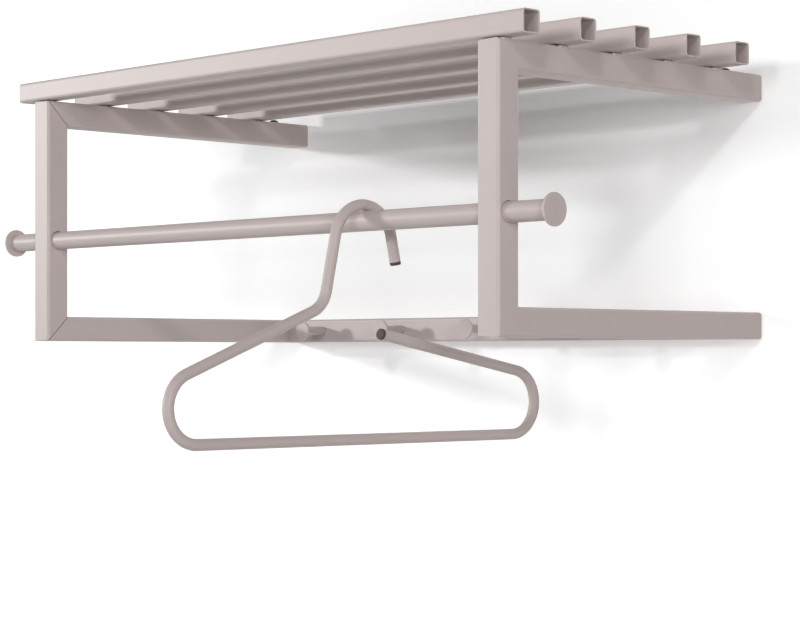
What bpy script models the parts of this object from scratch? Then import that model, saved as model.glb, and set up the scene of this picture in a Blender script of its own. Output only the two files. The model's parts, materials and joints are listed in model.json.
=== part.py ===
"""Wall coat rack: two square-tube side frames, five slats, a hanging rail, a bar of pegs and a hanger.

Metres, +Z up. The origin is on the wall, midway between the keyholes of the two top arms. The rack stands
out from the wall towards -Y, and its left side is at -X.
"""

import math

import bmesh
import bpy
import numpy as np

MM = 0.001

# Clearances
GAP = 0.3 * MM  # between pieces that touch
RAIL_PLAY = 0.6 * MM  # round the rail in the uprights
DRIVER_PLAY = 0.75 * MM  # round a screw head in its access hole
WALL_PLAY = 0.5 * MM  # between the wall and the screw heads behind the bar

# Side frames
FRAME_SPAN = 656 * MM  # over the outer faces of both frames
FRAME_DEPTH = 355 * MM  # from the wall to the front of the uprights
FRAME_HEIGHT = 245 * MM
FRAME_TUBE = 25 * MM
FRAME_WALL = 1.5 * MM
FRAME_RADIUS = 2.8 * MM

# Rear ends of the arms, with a keyhole in the upper ones
CAP_PLATE = 4 * MM
CAP_ROUNDING = 3 * MM
CAP_COLLAR = 8 * MM
CAP_COLLAR_WALL = 1.5 * MM
KEYHOLE_HEAD = 9 * MM
KEYHOLE_SHANK = 4.6 * MM
KEYHOLE_RISE = 6.5 * MM

# Button plugs in the tops of the upper arms, between the rear slat and the wall
ARM_PLUG_PLACE = 41.5 * MM  # in front of the wall
ARM_PLUG_HEAD = 10 * MM
ARM_PLUG_HEIGHT = 3.7 * MM
ARM_PLUG_STEM = 6 * MM
ARM_PLUG_DEPTH = 8 * MM

# Slats
SLAT_COUNT = 5
SLAT_OVERHANG = 27 * MM  # past the outer face of each frame
SLAT_TUBE = 20 * MM
SLAT_WALL = 1.2 * MM
SLAT_RADIUS = 3 * MM
SLAT_FRONT_SETBACK = 0.5 * MM  # front slat behind the front of the frames
SLAT_REAR_SETBACK = 56.5 * MM  # rear slat in front of the wall
SLAT_LIFT = 1.2 * MM  # above the arms

# Screws, and the flanged inserts that they go into
SCREW_DIAMETER = 5 * MM
SCREW_LENGTH = 12 * MM
SCREW_HEAD = 9.5 * MM
SCREW_HEAD_HEIGHT = 2.7 * MM
SCREW_SOCKET = 3.4 * MM
SCREW_SOCKET_DEPTH = 1.5 * MM
INSERT_FLANGE = 10 * MM
INSERT_BODY = 7.2 * MM
INSERT_DEPTH = 10 * MM

# Hanging rail
RAIL_DIAMETER = 18 * MM
RAIL_WALL = 1.5 * MM
RAIL_OVERHANG = 48.5 * MM  # past the outer face of each frame
RAIL_DROP = 130 * MM  # below the middle of the top arms
RAIL_CAP_DIAMETER = 27.8 * MM
RAIL_CAP_THICKNESS = 2.5 * MM
RAIL_CAP_CHAMFER = 0.4 * MM
RAIL_CAP_SPIGOT = 10 * MM

# Pegs along the bar
PEG_COUNT = 5
PEG_END_SPACE = 55 * MM  # from an arm to the middle of the nearest peg
PEG_DIAMETER = 9 * MM
PEG_REACH = 31 * MM  # from the bar to the front of the head
PEG_HEAD = 20 * MM
PEG_HEAD_THICKNESS = 2.5 * MM
PEG_HEAD_ROUNDING = 0.5 * MM
PEG_BORE_DEPTH = 14 * MM

# Hanger, bent from one round tube; heights are below the middle of the rail
HANGER_PLACE = 153.5 * MM  # to the right of the middle of the rack
HANGER_TUBE = 10 * MM
HANGER_WALL = 1 * MM
HANGER_HOOK_RADIUS = 34 * MM
HANGER_HOOK_FLARE = 12.5  # degrees that the hook's two legs lean outwards
HANGER_TIP_RUN = 22.5 * MM
HANGER_NECK_DROP = 75 * MM  # to the corner of the neck and the shoulder
HANGER_NECK_BEND = 25 * MM
HANGER_BAR_DROP = 190.8 * MM
HANGER_END_RADIUS = 30 * MM
HANGER_FRONT_REACH = 186.4 * MM  # from the rail to the middle of the front bend
HANGER_REAR_REACH = 189.8 * MM
HANGER_REAR_SLOPE = 10.6  # degrees
HANGER_REAR_RUN = 176 * MM
PLUG_FLANGE = 3 * MM
PLUG_ROUNDING = 0.8 * MM
PLUG_SPIGOT = 8 * MM

# Fineness of the round forms
CORNER_STEPS = 3
RAIL_SIDES = 32
PEG_SIDES = 20
HOLE_SIDES = 12
SCREW_SIDES = 12
HANGER_SIDES = 12
BEND_STEP = 14  # degrees

# Places worked out from the sizes above
TOP_ARM_Z = 0.0
BOTTOM_ARM_Z = TOP_ARM_Z - FRAME_HEIGHT + FRAME_TUBE
FRAME_X = FRAME_SPAN / 2 - FRAME_TUBE / 2
UPRIGHT_Y = -FRAME_DEPTH + FRAME_TUBE / 2
SLAT_LENGTH = FRAME_SPAN + 2 * SLAT_OVERHANG
SLAT_Z = TOP_ARM_Z + FRAME_TUBE / 2 + SLAT_LIFT + SLAT_TUBE / 2
RAIL_Z = TOP_ARM_Z - RAIL_DROP
BAR_LENGTH = FRAME_SPAN - 2 * FRAME_TUBE - 2 * GAP
BAR_REAR = -(SCREW_HEAD_HEIGHT + GAP + WALL_PLAY)
BAR_Y = BAR_REAR - FRAME_TUBE / 2
SCREW_HOLE = SCREW_DIAMETER + 2 * GAP
SIDES = (("left", -1), ("right", 1))

POWDER_COAT = ("powder_coat", (0.56, 0.49, 0.48), 0.45, 0.0)
ZINC = ("zinc_plate", (0.55, 0.55, 0.56), 0.35, 1.0)
DARK_PLUG = ("dark_plug", (0.09, 0.075, 0.072), 0.55, 0.0)


def clear_scene():
    for thing in list(bpy.data.objects):
        bpy.data.objects.remove(thing, do_unlink=True)


def finish(name, colour, roughness, metallic):
    """A plain surface finish, made once and shared by the pieces that have it."""
    material = bpy.data.materials.get(name) or bpy.data.materials.new(name)
    material.use_nodes = True
    surface = material.node_tree.nodes["Principled BSDF"]
    surface.inputs["Base Color"].default_value = (*colour, 1.0)
    surface.inputs["Roughness"].default_value = roughness
    surface.inputs["Metallic"].default_value = metallic
    return material


def ring(radius, sides, height, flat_sides=False):
    """Points round the Z axis at a height, on a circle or on a hexagon with half as many corners."""
    turn = np.arange(sides) * 2 * math.pi / sides
    reach = np.full(sides, radius)
    if flat_sides:
        reach[1::2] *= math.cos(2 * math.pi / sides)
    return np.column_stack((reach * np.cos(turn), reach * np.sin(turn), np.full(sides, height)))


def rounded_square(side, radius, height, mitre=0.0):
    """Points round the Z axis on a square with arced corners; a mitre lifts the ring by its Y."""
    radius = max(radius, FRAME_WALL / 5)
    middle = (side / 2 - radius) * math.sqrt(2)
    arc = np.linspace(-45, 45, CORNER_STEPS + 1)
    points = []
    for corner in (45, 135, 225, 315):
        turn = np.radians(corner + arc)
        x = middle * math.cos(math.radians(corner)) + radius * np.cos(turn)
        y = middle * math.sin(math.radians(corner)) + radius * np.sin(turn)
        points.append(np.column_stack((x, y, height + mitre * y)))
    return np.vstack(points)


def rod(start, end, radius, sides):
    """The two end rings of a straight rod between two points."""
    start, end = np.array(start), np.array(end)
    along = (end - start) / np.linalg.norm(end - start)
    across = np.cross(along, np.roll(along, 1))
    across /= np.linalg.norm(across)
    turn = np.arange(sides)[:, None] * 2 * math.pi / sides
    around = radius * (np.cos(turn) * across + np.sin(turn) * np.cross(along, across))
    return [start + around, end + around]


def skin(name, *rows, closed=False):
    """Bridge each row of rings into one closed body.

    A closed row goes back to its first ring, as a hollow tube does. An open row has its end rings filled.
    """
    shape = bmesh.new()
    for row in rows:
        rings = [[shape.verts.new(point) for point in points] for points in row]
        pairs = list(zip(rings, rings[1:]))
        if closed:
            pairs.append((rings[-1], rings[0]))
        else:
            shape.faces.new(rings[0])
            shape.faces.new(rings[-1])
        for near, far in pairs:
            for k in range(len(near)):
                shape.faces.new((near[k - 1], near[k], far[k], far[k - 1]))
    bmesh.ops.recalc_face_normals(shape, faces=shape.faces)
    mesh = bpy.data.meshes.new(name)
    shape.to_mesh(mesh)
    shape.free()
    mesh.shade_smooth()
    mesh.set_sharp_from_angle(angle=math.radians(35))
    return mesh


def square_tube(name, side, wall, radius, length, mitres=(0, 0)):
    """A hollow square tube along +Z from 0, with an end cut square (0) or mitred (1 or -1)."""
    row = []
    for tube_side, tube_radius in ((side, radius), (side - 2 * wall, radius - wall)):
        ends = [(0, mitres[0]), (length, mitres[1])]
        if row:
            ends.reverse()
        row += [rounded_square(tube_side, tube_radius, height, mitre) for height, mitre in ends]
    return skin(name, row, closed=True)


def place(name, mesh, look, parent, location=(0, 0, 0), rotation=(0, 0, 0)):
    """Put a mesh in the scene as a named piece; the rotation is in degrees."""
    piece = bpy.data.objects.new(name, mesh)
    bpy.context.scene.collection.objects.link(piece)
    piece.parent = parent
    piece.location = location
    piece.rotation_euler = [math.radians(angle) for angle in rotation]
    if not mesh.materials:
        mesh.materials.append(finish(*look))
    return piece


def axis_empty(name, location, parent=None):
    empty = bpy.data.objects.new(name, None)
    bpy.context.scene.collection.objects.link(empty)
    empty.parent = parent
    empty.location = location
    return empty


def cut(piece, *rows):
    """Cut bodies, given as rows of rings in the rack's own axes, out of a piece."""
    cutter = bpy.data.objects.new(piece.name + "_cutter", skin(piece.name + "_cutter", *rows))
    bpy.context.scene.collection.objects.link(cutter)
    cutter.hide_render = True
    cutter.display_type = "WIRE"
    boolean = piece.modifiers.new("holes", "BOOLEAN")
    boolean.operation = "DIFFERENCE"
    boolean.solver = "EXACT"
    boolean.object = cutter


def slat_places():
    """The middle of each slat along Y, from the front slat to the rear one."""
    front = -FRAME_DEPTH + SLAT_FRONT_SETBACK + SLAT_TUBE / 2
    rear = -SLAT_REAR_SETBACK - SLAT_TUBE / 2
    return np.linspace(front, rear, SLAT_COUNT)


def peg_places():
    """The middle of each peg along X, from left to right."""
    last = FRAME_SPAN / 2 - FRAME_TUBE - PEG_END_SPACE
    return np.linspace(-last, last, PEG_COUNT)


def make_frame(rack, side, sign):
    """The three mitred tubes of one side frame, with their holes."""
    tube = (FRAME_TUBE, FRAME_WALL, FRAME_RADIUS)
    mitre_setback = GAP / math.sqrt(2)
    x = sign * FRAME_X
    arm_length = FRAME_DEPTH - FRAME_TUBE / 2 - CAP_PLATE - GAP - mitre_setback
    arm_start = UPRIGHT_Y + mitre_setback
    lie_back = (-90, 0, 0)

    mesh = square_tube(f"{side}_top_arm", *tube, arm_length, (1, 0))
    top_arm = place(mesh.name, mesh, POWDER_COAT, rack, (x, arm_start, TOP_ARM_Z), lie_back)
    top_face = TOP_ARM_Z + FRAME_TUBE / 2
    well = INSERT_BODY / 2 + GAP
    low, high = top_face - 2 * FRAME_WALL, top_face + FRAME_WALL
    holes = [rod((x, y, low), (x, y, high), well, HOLE_SIDES) for y in slat_places()]
    plug_hole = ARM_PLUG_STEM / 2 + GAP
    holes.append(rod((x, -ARM_PLUG_PLACE, low), (x, -ARM_PLUG_PLACE, high), plug_hole, HOLE_SIDES))
    cut(top_arm, *holes)

    mesh = square_tube(f"{side}_bottom_arm", *tube, arm_length, (-1, 0))
    place(mesh.name, mesh, POWDER_COAT, rack, (x, arm_start, BOTTOM_ARM_Z), lie_back)

    length = TOP_ARM_Z - BOTTOM_ARM_Z - 2 * mitre_setback
    mesh = square_tube(f"{side}_upright", *tube, length, (1, -1))
    upright = place(mesh.name, mesh, POWDER_COAT, rack, (x, UPRIGHT_Y, BOTTOM_ARM_Z + mitre_setback))
    inside, outside = x - FRAME_TUBE, x + FRAME_TUBE
    hole = RAIL_DIAMETER / 2 + RAIL_PLAY
    cut(upright, rod((inside, UPRIGHT_Y, RAIL_Z), (outside, UPRIGHT_Y, RAIL_Z), hole, RAIL_SIDES))


def arm_plug_mesh():
    """A button plug along Z: a stem below Z = 0 and, above it, a low dome that stands on the arm."""
    head = ARM_PLUG_HEAD / 2
    stem = ARM_PLUG_STEM / 2
    row = [
        ring(stem, HOLE_SIDES, -ARM_PLUG_DEPTH),
        ring(stem, HOLE_SIDES, GAP),
        ring(head, HOLE_SIDES, GAP),
        ring(head, HOLE_SIDES, ARM_PLUG_HEIGHT / 3),
        ring(0.62 * head, HOLE_SIDES, ARM_PLUG_HEIGHT),
    ]
    return skin("arm_plug", row)


def keyhole(x, z):
    """A round entry with a narrower slot above it, through the middle of a cap's plate along Y."""
    entry = KEYHOLE_HEAD / 2
    shank = KEYHOLE_SHANK / 2
    foot = math.acos(shank / entry)
    sweep = np.linspace(math.pi - foot, 2 * math.pi + foot, HOLE_SIDES)
    arch = np.linspace(0, math.pi, HOLE_SIDES // 2)
    across = np.concatenate((entry * np.cos(sweep), shank * np.cos(arch)))
    up = np.concatenate((entry * np.sin(sweep), KEYHOLE_RISE + shank * np.sin(arch)))
    up -= (up.max() + up.min()) / 2
    depths = (-CAP_PLATE - CAP_COLLAR / 2, CAP_PLATE)
    return [np.column_stack((x + across, np.full(len(up), y), z + up)) for y in depths]


def make_end_cap(rack, name, x, z, has_keyhole):
    """A plate with a rounded rim that closes an arm at the wall, on a collar inside the tube."""
    collar = FRAME_TUBE - 2 * FRAME_WALL - 2 * GAP
    collar_radius = FRAME_RADIUS - FRAME_WALL
    inside = collar - 2 * CAP_COLLAR_WALL
    row = []
    for angle in (90, 60, 30, 0):
        inset = CAP_ROUNDING * (1 - math.cos(math.radians(angle)))
        depth = CAP_ROUNDING * (1 - math.sin(math.radians(angle)))
        row.append(rounded_square(FRAME_TUBE - 2 * inset, FRAME_RADIUS, depth))
    row += [
        rounded_square(FRAME_TUBE, FRAME_RADIUS, CAP_PLATE),
        rounded_square(collar, collar_radius, CAP_PLATE),
        rounded_square(collar, collar_radius, CAP_PLATE + CAP_COLLAR),
        rounded_square(inside, collar_radius, CAP_PLATE + CAP_COLLAR),
        rounded_square(inside, collar_radius, CAP_PLATE),
    ]
    cap = place(name, skin(name, row), POWDER_COAT, rack, (x, 0, z), (90, 0, 0))
    if has_keyhole:
        cut(cap, keyhole(x, z))


def screw_mesh():
    """A button-head screw along Z with a hexagonal socket; its head stands on Z = 0."""
    shank = SCREW_DIAMETER / 2
    head = SCREW_HEAD / 2
    socket = SCREW_SOCKET / 2
    floor = SCREW_HEAD_HEIGHT - SCREW_SOCKET_DEPTH
    row = [
        ring(shank, SCREW_SIDES, -SCREW_LENGTH),
        ring(shank, SCREW_SIDES, 0),
        ring(head, SCREW_SIDES, 0),
        ring(head, SCREW_SIDES, SCREW_HEAD_HEIGHT / 3),
        ring(0.86 * head, SCREW_SIDES, 0.8 * SCREW_HEAD_HEIGHT),
        ring(socket + (head - socket) / 4, SCREW_SIDES, SCREW_HEAD_HEIGHT),
        ring(socket, SCREW_SIDES, SCREW_HEAD_HEIGHT, flat_sides=True),
        ring(socket, SCREW_SIDES, floor, flat_sides=True),
    ]
    return skin("screw", row)


def insert_mesh():
    """A threaded insert along Z; its flange stands on the arm, which is at Z = 0."""
    flange_top = SLAT_LIFT - GAP
    bore = SCREW_HOLE / 2
    row = [
        ring(bore, HOLE_SIDES, -INSERT_DEPTH),
        ring(INSERT_BODY / 2, HOLE_SIDES, -INSERT_DEPTH),
        ring(INSERT_BODY / 2, HOLE_SIDES, GAP),
        ring(INSERT_FLANGE / 2, HOLE_SIDES, GAP),
        ring(INSERT_FLANGE / 2, HOLE_SIDES, flange_top),
        ring(bore, HOLE_SIDES, flange_top),
    ]
    return skin("insert", row, closed=True)


def make_slats(rack, screw):
    """The slats, each screwed down to both top arms through an access hole in its upper wall."""
    insert = insert_mesh()
    bottom = SLAT_Z - SLAT_TUBE / 2
    head_seat = bottom + SLAT_WALL + GAP
    access = SCREW_HEAD / 2 + DRIVER_PLAY
    for number, y in enumerate(slat_places(), start=1):
        mesh = square_tube(f"slat_{number}", SLAT_TUBE, SLAT_WALL, SLAT_RADIUS, SLAT_LENGTH)
        slat = place(mesh.name, mesh, POWDER_COAT, rack, (-SLAT_LENGTH / 2, y, SLAT_Z), (0, 90, 0))
        holes = []
        for side, sign in SIDES:
            x = sign * FRAME_X
            holes.append(rod((x, y, bottom - SLAT_WALL), (x, y, SLAT_Z), SCREW_HOLE / 2, HOLE_SIDES))
            holes.append(rod((x, y, SLAT_Z + SLAT_WALL), (x, y, SLAT_Z + SLAT_TUBE), access, HOLE_SIDES))
            name = f"{number}_{side}"
            place(f"slat_insert_{name}", insert, POWDER_COAT, rack, (x, y, TOP_ARM_Z + FRAME_TUBE / 2))
            place(f"slat_screw_{name}", screw, ZINC, rack, (x, y, head_seat))
        cut(slat, *holes)


def make_bar(rack, screw):
    """The bar at the wall, its pegs and the screws that hold them from behind."""
    mesh = square_tube("hook_bar", FRAME_TUBE, FRAME_WALL, FRAME_RADIUS, BAR_LENGTH)
    bar = place(mesh.name, mesh, POWDER_COAT, rack, (-BAR_LENGTH / 2, BAR_Y, BOTTOM_ARM_Z), (0, 90, 0))
    front = BAR_Y - FRAME_TUBE / 2
    z = BOTTOM_ARM_Z
    peg_seat = BAR_REAR - FRAME_WALL - GAP
    peg = peg_mesh(peg_seat - front)
    holes = []
    for number, x in enumerate(peg_places(), start=1):
        holes.append(rod((x, front - FRAME_WALL, z), (x, BAR_Y, z), PEG_DIAMETER / 2 + GAP, PEG_SIDES))
        holes.append(rod((x, BAR_Y + FRAME_WALL, z), (x, 0, z), SCREW_HOLE / 2, HOLE_SIDES))
        place(f"peg_hook_{number}", peg, POWDER_COAT, rack, (x, peg_seat, z), (90, 0, 0))
        place(f"hook_screw_{number}", screw, ZINC, rack, (x, BAR_REAR + GAP, z), (-90, 0, 0))
    cut(bar, *holes)


def peg_mesh(inside_bar):
    """A peg along Z with a disc head and, at Z = 0, the bore for its screw."""
    shank = PEG_DIAMETER / 2
    head = PEG_HEAD / 2
    top = inside_bar + PEG_REACH
    under = top - PEG_HEAD_THICKNESS
    rounding = PEG_HEAD_ROUNDING
    row = [
        ring(SCREW_HOLE / 2, PEG_SIDES, PEG_BORE_DEPTH),
        ring(SCREW_HOLE / 2, PEG_SIDES, 0),
        ring(shank, PEG_SIDES, 0),
        ring(shank, PEG_SIDES, under),
        ring(head - rounding, PEG_SIDES, under),
        ring(head, PEG_SIDES, under + rounding),
        ring(head, PEG_SIDES, top - rounding),
        ring(head - rounding, PEG_SIDES, top),
    ]
    return skin("peg", row)


def make_rail(rail_axis):
    """The round rail, which turns in both uprights, and its two disc caps."""
    reach = FRAME_SPAN / 2 + RAIL_OVERHANG - GAP
    bore = RAIL_DIAMETER / 2 - RAIL_WALL
    row = [
        ring(RAIL_DIAMETER / 2, RAIL_SIDES, -reach),
        ring(RAIL_DIAMETER / 2, RAIL_SIDES, reach),
        ring(bore, RAIL_SIDES, reach),
        ring(bore, RAIL_SIDES, -reach),
    ]
    place("hanging_rail", skin("hanging_rail", row, closed=True), POWDER_COAT, rail_axis, rotation=(0, 90, 0))

    disc = RAIL_CAP_DIAMETER / 2
    spigot = bore - GAP
    row = [
        ring(spigot, RAIL_SIDES, -RAIL_CAP_SPIGOT),
        ring(spigot, RAIL_SIDES, 0),
        ring(disc - RAIL_CAP_CHAMFER, RAIL_SIDES, 0),
        ring(disc, RAIL_SIDES, RAIL_CAP_CHAMFER),
        ring(disc, RAIL_SIDES, RAIL_CAP_THICKNESS - RAIL_CAP_CHAMFER),
        ring(disc - RAIL_CAP_CHAMFER, RAIL_SIDES, RAIL_CAP_THICKNESS),
    ]
    cap = skin("rail_cap", row)
    for side, sign in SIDES:
        end = sign * (reach + GAP)
        place(f"rail_cap_{side}", cap, POWDER_COAT, rail_axis, (end, 0, 0), (0, sign * 90, 0))


def bend(middle, radius, start, end):
    """Points along an arc in the YZ plane between two angles in degrees."""
    steps = max(2, math.ceil(abs(end - start) / BEND_STEP))
    turn = np.radians(np.linspace(start, end, steps + 1))
    return np.column_stack((middle[0] + radius * np.cos(turn), middle[1] + radius * np.sin(turn)))


def heading(degrees):
    return np.array((math.cos(math.radians(degrees)), math.sin(math.radians(degrees))))


def hanger_path():
    """The hanger's middle line from its tip to its free end, as Y and Z about the middle of the rail.

    The bends are joined by straight runs: hook, neck, front end, rear end. The front shoulder runs from
    the corner of the neck and touches the front end's arc.
    """
    hook_top = RAIL_DIAMETER / 2 + GAP + HANGER_TUBE / 2
    hook_middle = (0, hook_top - HANGER_HOOK_RADIUS)
    hook = bend(hook_middle, HANGER_HOOK_RADIUS, HANGER_HOOK_FLARE, 180 - HANGER_HOOK_FLARE)
    tip = hook[0] + HANGER_TIP_RUN * heading(HANGER_HOOK_FLARE - 90)

    neck_angle = 270 - HANGER_HOOK_FLARE
    neck = heading(neck_angle)
    corner = hook[-1] + neck * (hook[-1][1] + HANGER_NECK_DROP) / -neck[1]
    bend_z = HANGER_END_RADIUS - HANGER_BAR_DROP
    front_middle = np.array((-HANGER_FRONT_REACH, bend_z))
    away = front_middle - corner
    touch = math.asin(HANGER_END_RADIUS / np.linalg.norm(away))
    shoulder_angle = math.degrees(math.atan2(away[1], away[0]) - touch) % 360

    half_turn = math.radians(neck_angle - shoulder_angle) / 2
    bend_start = corner - neck * HANGER_NECK_BEND * math.tan(half_turn)
    neck_middle = bend_start + HANGER_NECK_BEND * heading(neck_angle - 90)
    neck_bend = bend(neck_middle, HANGER_NECK_BEND, neck_angle + 90, shoulder_angle + 90)

    front_end = bend(front_middle, HANGER_END_RADIUS, shoulder_angle - 90, 270)
    rear_end = bend((HANGER_REAR_REACH, bend_z), HANGER_END_RADIUS, 270, 450 - HANGER_REAR_SLOPE)
    free_end = rear_end[-1] + HANGER_REAR_RUN * heading(180 - HANGER_REAR_SLOPE)
    return np.vstack((tip, hook, neck_bend, front_end, rear_end, free_end))


def carried_rings(path, radius):
    """A round section carried along a path in the YZ plane, square to the path at each point."""
    run = np.diff(path, axis=0)
    run /= np.linalg.norm(run, axis=1)[:, None]
    along = np.vstack((run[:1], run[:-1] + run[1:], run[-1:]))
    along /= np.linalg.norm(along, axis=1)[:, None]
    turn = np.arange(HANGER_SIDES) * 2 * math.pi / HANGER_SIDES
    rings = []
    for point, direction in zip(path, along):
        out = radius * np.cos(turn)[:, None] * np.array((-direction[1], direction[0]))
        rings.append(np.column_stack((radius * np.sin(turn), point + out)))
    return rings


def plug_mesh():
    """A round plug along Z: a spigot below Z = 0 and, above it, a flange as wide as the tube."""
    spigot = HANGER_TUBE / 2 - HANGER_WALL - GAP
    flange = HANGER_TUBE / 2
    row = [
        ring(spigot, HANGER_SIDES, -PLUG_SPIGOT),
        ring(spigot, HANGER_SIDES, GAP),
        ring(flange, HANGER_SIDES, GAP),
        ring(flange, HANGER_SIDES, PLUG_FLANGE - PLUG_ROUNDING),
        ring(flange - PLUG_ROUNDING, HANGER_SIDES, PLUG_FLANGE),
    ]
    return skin("plug", row)


def make_hanger(rail_axis):
    """The bent tube over the rail and the plugs in its two ends."""
    hanger_axis = axis_empty("hanger_axis", (HANGER_PLACE, 0, 0), rail_axis)
    path = hanger_path()
    outer = carried_rings(path, HANGER_TUBE / 2)
    inner = carried_rings(path, HANGER_TUBE / 2 - HANGER_WALL)
    tube = skin("hanger", outer + inner[::-1], closed=True)
    place("hanger", tube, POWDER_COAT, hanger_axis)

    plug = plug_mesh()
    for name, end, neighbour in (("tip", path[0], path[1]), ("free", path[-1], path[-2])):
        outward = end - neighbour
        tilt = math.degrees(math.atan2(outward[1], outward[0])) - 90
        place(f"hanger_plug_{name}", plug, DARK_PLUG, hanger_axis, (0, *end), (tilt, 0, 0))


def main():
    clear_scene()
    rack = axis_empty("rack", (0, 0, 0))
    rail_axis = axis_empty("rail_axis", (0, UPRIGHT_Y, RAIL_Z), rack)
    arm_plug = arm_plug_mesh()
    for side, sign in SIDES:
        make_frame(rack, side, sign)
        plug_place = (sign * FRAME_X, -ARM_PLUG_PLACE, TOP_ARM_Z + FRAME_TUBE / 2)
        place(f"arm_plug_{side}", arm_plug, DARK_PLUG, rack, plug_place)
        make_end_cap(rack, f"{side}_top_end_cap", sign * FRAME_X, TOP_ARM_Z, True)
        make_end_cap(rack, f"{side}_bottom_end_cap", sign * FRAME_X, BOTTOM_ARM_Z, False)
    screw = screw_mesh()
    make_slats(rack, screw)
    make_bar(rack, screw)
    make_rail(rail_axis)
    make_hanger(rail_axis)


main()
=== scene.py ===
# %% [markdown]
# # A wall coat rack
# The rack hangs on a wall by two open side frames of square tube. Slats make a hat shelf on top, a round
# rail goes through both uprights, a bar of pegs lies at the wall, and a bent-tube hanger rides on the rail.
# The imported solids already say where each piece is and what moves, so this lesson only dresses them: each
# solid is replaced by a finer surface at the same place, and then it gets its finish.

# %% Load the solids
import json
import math

import bmesh
import bpy
import numpy as np
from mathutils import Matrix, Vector


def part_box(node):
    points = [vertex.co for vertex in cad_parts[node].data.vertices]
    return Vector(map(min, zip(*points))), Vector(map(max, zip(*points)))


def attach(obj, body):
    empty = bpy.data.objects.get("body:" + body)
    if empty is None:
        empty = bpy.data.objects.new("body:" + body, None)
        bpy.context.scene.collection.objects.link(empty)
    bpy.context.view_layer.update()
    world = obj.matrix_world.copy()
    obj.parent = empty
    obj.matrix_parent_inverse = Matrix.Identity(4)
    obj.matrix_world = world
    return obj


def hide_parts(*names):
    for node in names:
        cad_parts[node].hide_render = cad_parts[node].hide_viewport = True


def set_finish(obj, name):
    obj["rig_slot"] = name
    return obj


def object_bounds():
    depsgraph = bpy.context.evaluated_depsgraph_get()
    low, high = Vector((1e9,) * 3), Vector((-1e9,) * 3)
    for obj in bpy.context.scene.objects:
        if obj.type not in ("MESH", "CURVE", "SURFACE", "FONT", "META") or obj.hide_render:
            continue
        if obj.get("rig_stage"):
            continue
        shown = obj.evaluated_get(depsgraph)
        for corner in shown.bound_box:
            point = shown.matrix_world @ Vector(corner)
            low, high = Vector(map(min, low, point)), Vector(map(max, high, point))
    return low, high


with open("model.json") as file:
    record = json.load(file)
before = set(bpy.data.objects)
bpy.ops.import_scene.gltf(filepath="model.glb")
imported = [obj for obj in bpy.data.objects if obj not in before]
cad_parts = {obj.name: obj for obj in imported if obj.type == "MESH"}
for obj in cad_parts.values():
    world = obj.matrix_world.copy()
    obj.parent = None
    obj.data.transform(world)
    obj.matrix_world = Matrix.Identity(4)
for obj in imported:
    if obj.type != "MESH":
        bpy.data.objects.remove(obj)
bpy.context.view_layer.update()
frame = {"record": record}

MM = 0.001
record = frame["record"]
body_of = {node: body for body, nodes in record["behaviour"]["bodies"].items() for node in nodes}
slot_of = {part["node"]: part["material_slot"] for part in record["subparts"]}

# %% [markdown]
# ## Rings of points become a mesh
# A tube, a screw and a bent hanger are one thing to a modeller: an outline carried along a line. Blender's
# curves could bevel such an outline, but they hide where the points go. Here the rings are plain arrays, so
# a mitre or a broken edge is one more row of numbers. A value named rim is stored at each point. It is 1 on
# corners and cut ends, where paint lies thin, and the finishes read it later.


# %% Loft rings into a closed surface
def loft(rings, wrap):
    """Each quad joins point k and k + 1 of one ring to the same two of the next ring.

    With wrap the last ring joins the first, as on a hollow tube. Without it the end rings are filled.
    """
    count, around = rings.shape[:2]
    corner = np.arange(around)
    first = np.arange(count if wrap else count - 1)[:, None] * around
    ahead = (first + around) % (count * around)
    after = np.roll(corner, -1)
    quads = np.stack((first + corner, first + after, ahead + after, ahead + corner), axis=-1)
    faces = quads.reshape(-1, 4).tolist()
    if not wrap:
        faces += [corner.tolist(), (corner + (count - 1) * around).tolist()]
    return rings.reshape(-1, 3), faces


# %% Turn the faces outwards and shade them
CREASE = math.radians(35)


def face_outward(mesh):
    """Turn every face of a closed mesh outwards."""
    shape = bmesh.new()
    shape.from_mesh(mesh)
    bmesh.ops.recalc_face_normals(shape, faces=shape.faces)
    shape.to_mesh(mesh)
    shape.free()


def shade(mesh):
    """Shade the faces smooth, and keep an edge sharp where they turn by more than the crease angle."""
    mesh.shade_smooth()
    mesh.set_sharp_from_angle(angle=CREASE)


# %% Make a piece of them
pieces = []


def form(name, rings, wrap, body, slot, rim=None):
    """Make a lofted piece that rides on a body, has a finish slot and stores its rim value."""
    points, faces = loft(rings, wrap)
    mesh = bpy.data.meshes.new(name)
    mesh.from_pydata(points, [], faces)
    weight = np.zeros(rings.shape[:2]) if rim is None else np.broadcast_to(rim, rings.shape[:2])
    layer = mesh.attributes.new("rim", "FLOAT", "POINT")
    layer.data.foreach_set("value", weight.astype(np.float32).ravel())
    face_outward(mesh)
    shade(mesh)
    piece = bpy.data.objects.new(name, mesh)
    bpy.context.scene.collection.objects.link(piece)
    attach(piece, body)
    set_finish(piece, slot)
    pieces.append(piece)
    return piece


def dress(node, rings, wrap, rim=None):
    """Make the piece that stands for a solid, on the same body and with the same finish slot."""
    piece = form(node + "_form", rings, wrap, body_of[node], slot_of[node], rim)
    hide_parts(node)
    return piece


# %% [markdown]
# ## Square tube
# The frames, slats and bar are rolled steel tube: flat walls, small round corners, and ends that the saw
# left sharp and a file just broke. A cube with a Bevel would round every edge alike. An outline of four
# arcs keeps the rolled corners apart from the filed ends. One extra point beside each arc holds the shading
# of the flat wall flat.

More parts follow.
